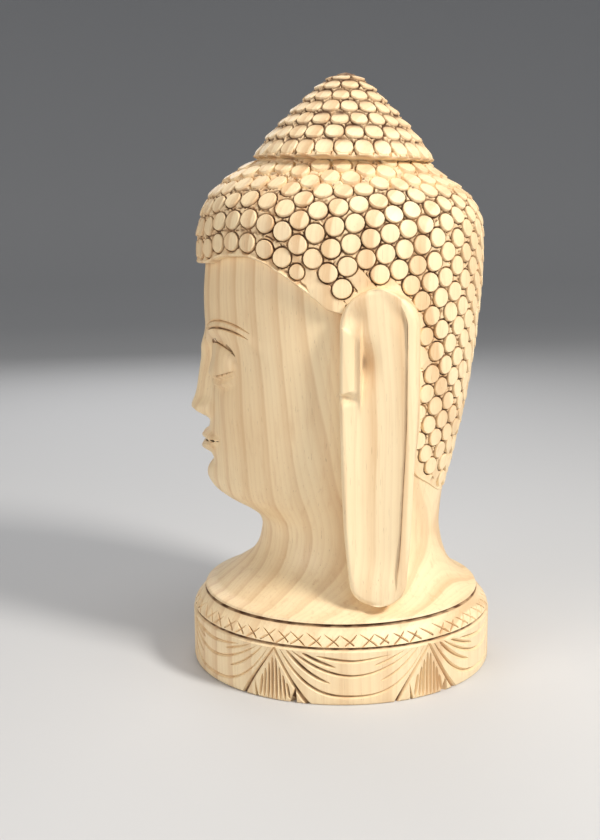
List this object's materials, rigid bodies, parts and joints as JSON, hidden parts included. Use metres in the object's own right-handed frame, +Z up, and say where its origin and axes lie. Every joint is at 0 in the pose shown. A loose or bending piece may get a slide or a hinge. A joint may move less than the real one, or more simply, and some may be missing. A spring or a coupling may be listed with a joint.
{
  "type": "carved wooden buddha head",
  "caption": "Carved wooden buddha head with rows of round curls, a low crown and long ears, on a round base cut with swagged petals",
  "frame": {"origin": "middle of the flat underside of the base, on the surface it stands on", "axes": "+Z up through the crown, -Y the way the face looks, +X to the figure's left ear"},
  "size_m": [0.132, 0.132, 0.254],
  "materials": {
    "wood": "pale close-grained wood, sanded smooth and lightly waxed, with darker cut lines"
  },
  "bodies": {
    "root": {"buddha_head": "wood"}
  },
  "joints": []
}
